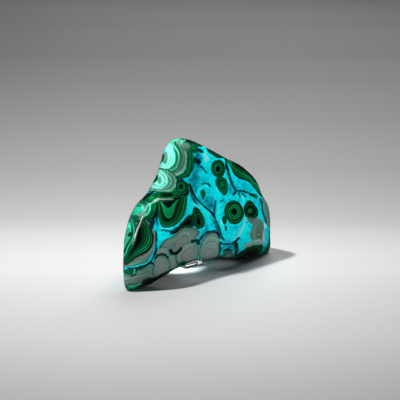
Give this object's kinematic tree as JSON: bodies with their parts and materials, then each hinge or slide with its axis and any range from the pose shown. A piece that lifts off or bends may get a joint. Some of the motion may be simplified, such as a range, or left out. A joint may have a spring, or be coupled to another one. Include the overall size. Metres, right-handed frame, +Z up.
{
  "type": "malachite specimen",
  "caption": "Polished malachite and chrysocolla freeform, arched underneath, standing on two flat feet over a small clear block.",
  "frame": {"origin": "on the surface it stands on, under the middle of the stone's box", "axes": "+X along the stone from the long foot to the short one, +Y from the show face to the back, +Z up"},
  "size_m": [0.1208, 0.04, 0.0881],
  "materials": {
    "polished_stone": "polished, banded green with turquoise and black veins",
    "clear_acrylic": "clear, polished"
  },
  "bodies": {
    "root": {"stone": "polished_stone", "clear_prop": "clear_acrylic"}
  },
  "joints": []
}
